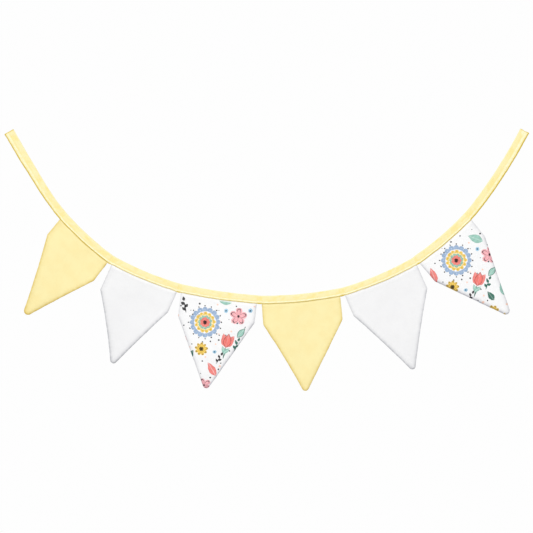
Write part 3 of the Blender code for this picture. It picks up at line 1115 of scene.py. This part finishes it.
cut = namedtuple("cut", ("number", "cloth", "corners", "leftShoulder", "rightShoulder", "tip", "tipRadius",
                         "hollow", "bow", "swing", "fold"))
pennantCuts = (
    # mm along and down from the left corner; corners are mm beyond the chord's ends, hollow how far the
    # slanted sides draw in halfway, and bow, swing and fold are mm forward
    cut(1, "yellow_cotton", (1.1, 0.8), (1.4, 42.1), (139, 48), (79.4, 196.8), 8.5,
        (1.7, 0.8), 2.0, -2.5, 0.8),
    cut(2, "white_cotton", (-2.2, 0.9), (0.9, 57), (150.4, 46.6), (83.5, 189.9), 7.2,
        (2.1, 1.0), -1.5, 3.0, 1.0),
    cut(3, "printed_cotton", (-1.0, 0.0), (2.4, 49.6), (163.2, 41.4), (81.8, 190.8), 7.5,
        (0.0, 0.3), 2.5, 1.5, -0.8),
    cut(4, "yellow_cotton", (0.5, 0.6), (-1.2, 44.3), (165.8, 48.4), (74.2, 190.8), 7.4,
        (1.9, 0.0), 1.5, -1.5, 1.0),
    cut(5, "white_cotton", (0.2, -1.2), (0.1, 47), (165.4, 53.3), (72.9, 198.7), 6.8,
        (1.3, 1.4), -2.0, 2.5, 0.9),
    cut(6, "printed_cotton", (0.5, 1.0), (-0.7, 49.1), (140.5, 45.3), (73.1, 200.1), 8.5,
        (0.1, 0.7), 2.0, 3.0, -1.0),
)
printPlaces = {
    # mm that the print is shifted on the front and on the back
    3: ((0, 0), (88, -40)),
    6: ((-24, -68), (60, -95)),
}


def between(start, end, share):
    return start + (end - start) * share


def sideOutline(corner, shoulder, centre, radius, hollow, turn):
    # One edge from the tape to the tip's lowest point, as points along and down; turn is -1 at the left
    toCentre = centre - shoulder
    far = np.linalg.norm(toCentre)
    touch = math.pi / 2 + math.atan2(turn * toCentre[0], toCentre[1]) + math.asin(radius / far)
    tip = [centre + radius * np.array((turn * math.sin(a), math.cos(a))) for a in np.linspace(touch, 0, 14)]
    above = shoulder + (corner - shoulder) / np.linalg.norm(corner - shoulder) * pennant["shoulderRound"]
    below = shoulder + (tip[0] - shoulder) / np.linalg.norm(tip[0] - shoulder) * pennant["shoulderRound"]
    rounding = [between(between(above, shoulder, t), between(shoulder, below, t), t)
                for t in np.linspace(0, 1, 9)]
    slant = tip[0] - below
    inward = np.array((slant[1], -slant[0])) / np.linalg.norm(slant) * -turn
    slanted = [between(below, tip[0], t) + inward * hollow * 4 * t * (1 - t)
               for t in np.linspace(0.1, 0.9, 9)]
    return [corner, *rounding, *slanted, *tip]


def spacedLoop(points, step):
    points = np.array(points)
    closed = np.vstack([points, points[:1]])
    lengths = np.concatenate([[0], np.cumsum(np.linalg.norm(np.diff(closed, axis=0), axis=1))])
    places = np.linspace(0, lengths[-1], max(8, round(lengths[-1] / step)) + 1)[:-1]
    return np.stack([np.interp(places, lengths, closed[:, axis]) for axis in (0, 1)], 1), places


def nearestOnLoop(points, loop, places):
    # For each point, how far the closed outline is and where along it
    start, end = loop, np.roll(loop, -1, axis=0)
    side = end - start
    sizes = (side ** 2).sum(1)
    distances, arcs = [], []
    for chunk in np.array_split(points, max(1, len(points) // 800)):
        away = chunk[:, None] - start[None]
        share = np.clip((away * side[None]).sum(2) / sizes[None], 0, 1)
        gaps = np.linalg.norm(away - side[None] * share[..., None], axis=2)
        best = gaps.argmin(1)
        picked = np.arange(len(chunk))
        distances.append(gaps[picked, best])
        arcs.append(places[best] + share[picked, best] * np.sqrt(sizes[best]))
    return np.concatenate(distances), np.concatenate(arcs)


def insideLoop(points, loop):
    start, end = loop, np.roll(loop, -1, axis=0)
    x, y = points[:, 0, None], points[:, 1, None]
    spans = (start[None, :, 1] > y) != (end[None, :, 1] > y)
    rise = np.where(end[:, 1] == start[:, 1], 1e-12, end[:, 1] - start[:, 1])
    crossing = start[None, :, 0] + (y - start[None, :, 1]) / rise[None] * (end[:, 0] - start[:, 0])[None]
    return (spans & (x < crossing)).sum(1) % 2 == 1


class hungPennant:
    # The flat frame of one pennant: x runs along its chord of the tape and y down from it

    def __init__(self, row):
        self.row = row
        self.first, self.last = pennantSpans[row.number]
        self.corner = lineAt(self.first)
        chord = lineAt(self.last) - self.corner
        self.width = np.linalg.norm(chord)
        self.across = chord / self.width
        self.down = np.array((self.across[1], -self.across[0]))
        places = np.linspace(self.first - 6 * mm, self.last + 6 * mm, 120)
        self.edge = self.flat(lineAt(places))

    def flat(self, spots):
        away = spots - self.corner
        return np.stack([away @ self.across, away @ self.down], -1)

    def hung(self, points):
        return self.corner + points[..., 0, None] * self.across + points[..., 1, None] * self.down

    def belowTape(self, points):
        return points[:, 1] - np.interp(points[:, 0], self.edge[:, 0], self.edge[:, 1])

    def sides(self):
        radius = self.row.tipRadius * mm
        centre = np.array(self.row.tip) * mm - np.array((0, radius))
        past = [distance * mm for distance in self.row.corners]
        corners = (np.array((-past[0], 0.0)), np.array((self.width + past[1], 0.0)))
        shoulders = (self.row.leftShoulder, self.row.rightShoulder)
        return [sideOutline(corner, np.array(shoulder) * mm, centre, radius, hollow * mm, turn)
                for corner, shoulder, hollow, turn in zip(corners, shoulders, self.row.hollow, (-1, 1))]

    def outline(self):
        left, right = self.sides()
        ends = self.first - self.row.corners[0] * mm, self.last + self.row.corners[1] * mm
        top = self.flat(lineAt(np.linspace(*ends, 40), pennant["heldDepth"]))
        points = [top[0], *left, *right[-2::-1], top[-1], *top[-2:0:-1]]
        loop, places = spacedLoop(points, pennant["outlineStep"])
        side = np.roll(loop, -1, axis=0) - np.roll(loop, 1, axis=0)
        outward = np.stack([-side[:, 1], side[:, 0]], 1) / np.linalg.norm(side, axis=1)[:, None]
        seed = 40 + self.row.number
        wobble = wander(seed, places / (6 * mm)) + 1.3 * wander(seed + 10, places / (26 * mm))
        free = smooth(self.belowTape(loop) / (8 * mm))
        return loop + outward * (pennant["edgeWobble"] * wobble * free)[:, None], places, -outward

    def forward(self, points):
        # How far the middle of the pennant stands in front of the tape's plane
        left, right = [np.array(side) for side in self.sides()]
        y = np.maximum(points[:, 1], 0)
        low, high = np.interp(y, left[:, 1], left[:, 0]), np.interp(y, right[:, 1], right[:, 0])
        across = np.clip((points[:, 0] - low) / np.maximum(high - low, 4 * mm), 0, 1)
        down = np.clip(points[:, 1] / (self.row.tip[1] * mm), 0, 1)
        bow = self.row.bow * np.sin(math.pi * across) * np.sin(math.pi * down)
        swing = self.row.swing * down ** 2
        turns = across + pennant["foldSlant"] * down
        fold = self.row.fold * np.sin(2 * math.pi * turns) * smooth(down / pennant["foldStart"])
        return (bow + swing + fold) * mm


def pennantPoints(loop, places, inward):
    # The outline, rings inside it that follow the rolled rim, then an even field of points
    points = [loop]
    for depth in rimDepths:
        ring = loop + inward * depth * mm
        away, _ = nearestOnLoop(ring, loop, places)
        points.append(ring[away > depth * mm * 0.96])
    step = pennant["panelStep"]
    low, high = loop.min(0), loop.max(0)
    xs, ys = np.meshgrid(np.arange(low[0], high[0], step), np.arange(low[1], high[1], step * 0.866))
    xs[1::2] += step / 2
    field = np.stack([xs.ravel(), ys.ravel()], 1)
    field = field[insideLoop(field, loop)]
    away, _ = nearestOnLoop(field, loop, places)
    points.append(field[away > (rimDepths[-1] + 1.2) * mm])
    return np.concatenate(points)


def halfThickness(points, away, arcs, below, seed):
    # Rolled rim, the ridge over the seam allowance, then the flatter panel, with puckers along the seam
    toRim = np.clip(away / pennant["rimRound"], 0, 1)
    rim = np.sqrt(np.clip(1 - (1 - toRim) ** 2, 0, 1))
    ridge = 1 - smooth((away - pennant["seamAllowance"]) / (pennant["seamFade"] - pennant["seamAllowance"]))
    free = smooth(below / pennant["openRun"])
    puff = 1 + (pennant["seamPuff"] - 1) * free
    shares = pennant["panelShare"] + (puff - pennant["panelShare"]) * ridge
    squeezed = pennant["heldShare"] + (1 - pennant["heldShare"]) * free
    half = pennant["thickness"] / 2 * rim * shares * squeezed
    lip = 0.34 * mm * np.exp(-((below - 4.6 * mm) / (3.6 * mm)) ** 2) * smooth(away / (4 * mm)) * free
    puckers = wander(seed, arcs / (5.5 * mm), away / (16 * mm)) * np.exp(-away / (7 * mm)) * rim
    ripples = wander(seed + 1, arcs / (12 * mm), away / (40 * mm)) * np.exp(-away / (18 * mm)) * rim
    panel = smooth(away / (8 * mm))
    waves = wander(seed + 2, points[:, 0] / (34 * mm), points[:, 1] / (46 * mm)) * panel
    crumple = wander(seed + 3, points[:, 0] / (13 * mm), points[:, 1] / (17 * mm)) * panel
    relief = 0.34 * puckers + 0.30 * ripples + 0.55 * waves + 0.12 * crumple
    return half + lip + relief * mm * free


def edgeTone(row, points, loop, places, away, arcs, below):
    # The pressed edge gets painted shade over some millimetres, by an amount of its own along each side,
    # and so does the tip, where the seam allowances lie on one another. Some panels get a little painted
    # shade downward.
    turnSpots = np.array((row.leftShoulder, row.tip, row.rightShoulder)) * mm
    _, turns = nearestOnLoop(turnSpots, loop, places)
    marks = [turn + reach for turn in turns for reach in (-5 * mm, 5 * mm)]
    tones = pennant["edgeTones"][row.number]
    side = np.interp(arcs, marks, [tones[i] for i in (0, 1, 1, 2, 2, 3)])
    near = 0.66 * np.exp(-(away / (2.9 * mm)) ** 2) + 0.34 * np.exp(-(away / (6.2 * mm)) ** 2)
    shadeWander = 1 + 0.4 * wander(91, arcs / (6 * mm)) + 0.3 * wander(92, arcs / (19 * mm))
    side *= shadeWander * (0.85 + 0.15 * smooth((below - 30 * mm) / (20 * mm))) * smooth(below / (3 * mm))
    toTip = np.linalg.norm(points - turnSpots[1], axis=1)
    gathered = np.exp(-(toTip / (8 * mm)) ** 2) + 0.22 * np.exp(-(toTip / (45 * mm)) ** 2)
    lower = pennant["lowerTones"][row.number] * np.clip(below / (150 * mm), 0, 2)
    return near * side + pennant["tipTones"][row.number] * gathered + lower


def makePennant(row):
    hung = hungPennant(row)
    loop, places, inward = hung.outline()
    points = pennantPoints(loop, places, inward)
    loopCount = len(loop)
    spots = [Vector(point / mm) for point in points]
    edges = [(i, (i + 1) % loopCount) for i in range(loopCount)]
    found, _, triangles, origins, _, _ = delaunay_2d_cdt(spots, edges, [], 1, 1e-5)
    if len(found) != len(points):
        print("pennant", row.number, "has", len(found), "of", len(points), "points after meshing")
    flatPoints = np.array([tuple(point) for point in found]) * mm
    triangles = np.array(triangles)
    a, b, c = (flatPoints[triangles[:, i]] for i in range(3))
    turned = np.cross(b - a, c - a) > 0                       # counter-clockwise with y down faces backward
    triangles[turned] = triangles[turned][:, ::-1]
    away, arcs = nearestOnLoop(flatPoints, loop, places)
    onRim = away < 1e-3 * mm
    below = hung.belowTape(flatPoints)
    forward = hung.forward(flatPoints)
    seed = 60 + 10 * row.number
    layers = [halfThickness(flatPoints, away, arcs, below, seed + shift) * ~onRim for shift in (0, 5)]
    spread = hung.hung(flatPoints)
    front = np.stack([spread[:, 0], -forward - layers[0], spread[:, 1]], 1)
    back = np.stack([spread[:, 0], -forward + layers[1], spread[:, 1]], 1)
    backIndex = np.where(onRim, np.arange(len(front)), 0)
    backIndex[~onRim] = len(front) + np.arange((~onRim).sum())
    backFaces = backIndex[triangles][:, ::-1]
    faces = np.concatenate([triangles, backFaces])
    corner = hung.corner
    frontPlace, backPlace = printPlaces.get(row.number, ((0, 0), (0, 0)))
    frontMap = spread - corner + np.array(frontPlace) * mm
    backMap = (spread - corner) * np.array((-1, 1)) + np.array(backPlace) * mm
    corners = np.concatenate([frontMap[triangles].reshape(-1, 2),
                              backMap[triangles[:, ::-1]].reshape(-1, 2)])
    # Painted shade along the edges and tip, painted shadow just below the tape, and a painted highlight
    # band where the cloth bulges out below it
    tones = {
        "edgeShade": edgeTone(row, flatPoints, loop, places, away, arcs, below),
        "tapeShade": pennant["tapeShade"][row.number] * (1 - smooth((below + 0.4 * mm) / (1.7 * mm))),
        "tapeBand": smooth((below + 2.5 * mm) / (1.0 * mm)) * (1 - smooth((below - 0.3 * mm) / (3.2 * mm))),
    }
    shades = {label: np.concatenate([values, values[~onRim]]) for label, values in tones.items()}
    piece = clothMesh(f"pennant_{row.number}_cloth", np.concatenate([front, back[~onRim]]), faces, corners,
                      shades, cottons[row.cloth])
    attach(piece, "root")
    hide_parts(f"pennant_{row.number}")


for row in pennantCuts:
    makePennant(row)
